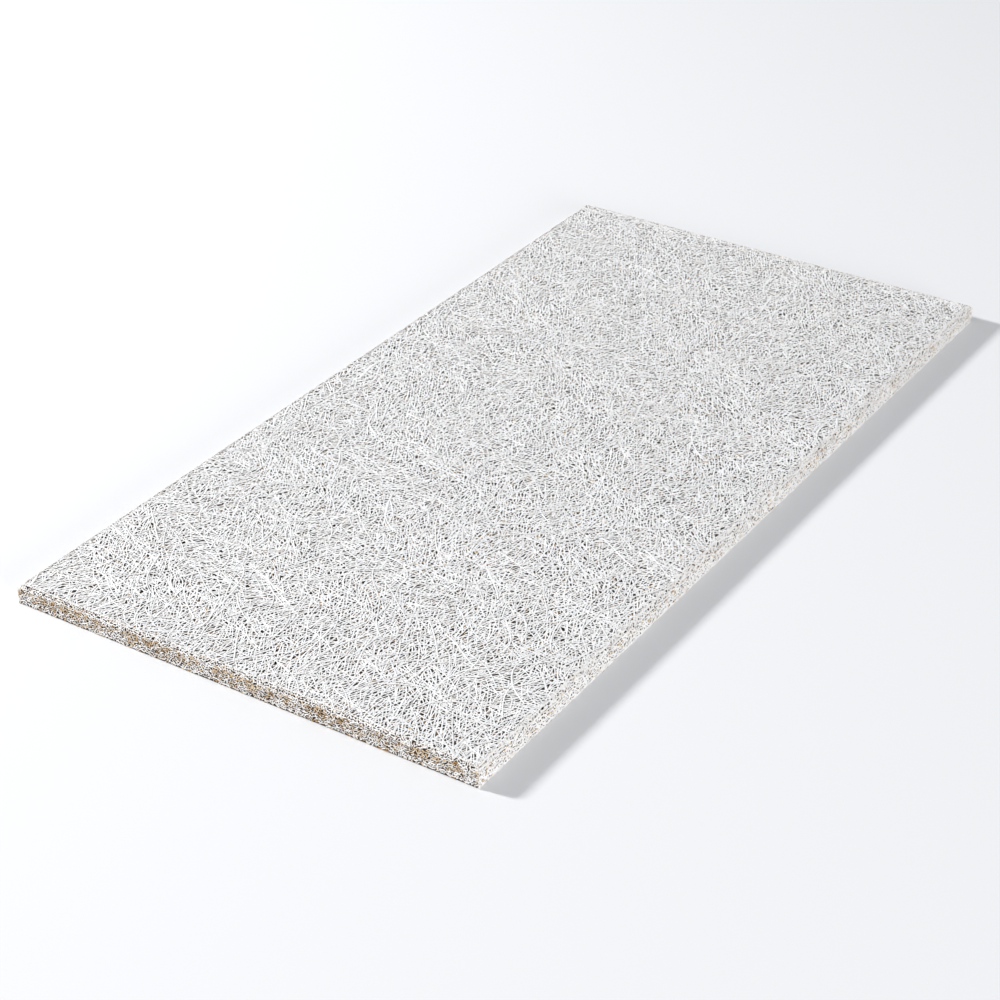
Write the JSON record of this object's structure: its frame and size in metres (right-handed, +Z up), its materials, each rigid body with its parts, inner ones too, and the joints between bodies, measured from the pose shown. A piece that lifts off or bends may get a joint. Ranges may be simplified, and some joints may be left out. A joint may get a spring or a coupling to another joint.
{
  "type": "wood wool acoustic panel",
  "caption": "Flat rectangular board of pressed wood wool with a white face and a bevel round it, for lining ceilings and walls to absorb sound.",
  "frame": {"origin": "centre of the back face, which lies on the floor", "axes": "+Z up through the thickness to the bevelled face, +Y along the length, +X across the width"},
  "size_m": [0.6, 1.2, 0.025],
  "materials": {
    "wood_wool": "matt white paint on cement-bound wood wool strands, bare strands on the sawn edges and the back"
  },
  "bodies": {
    "root": {"wood_wool_panel": "wood_wool"}
  },
  "joints": []
}
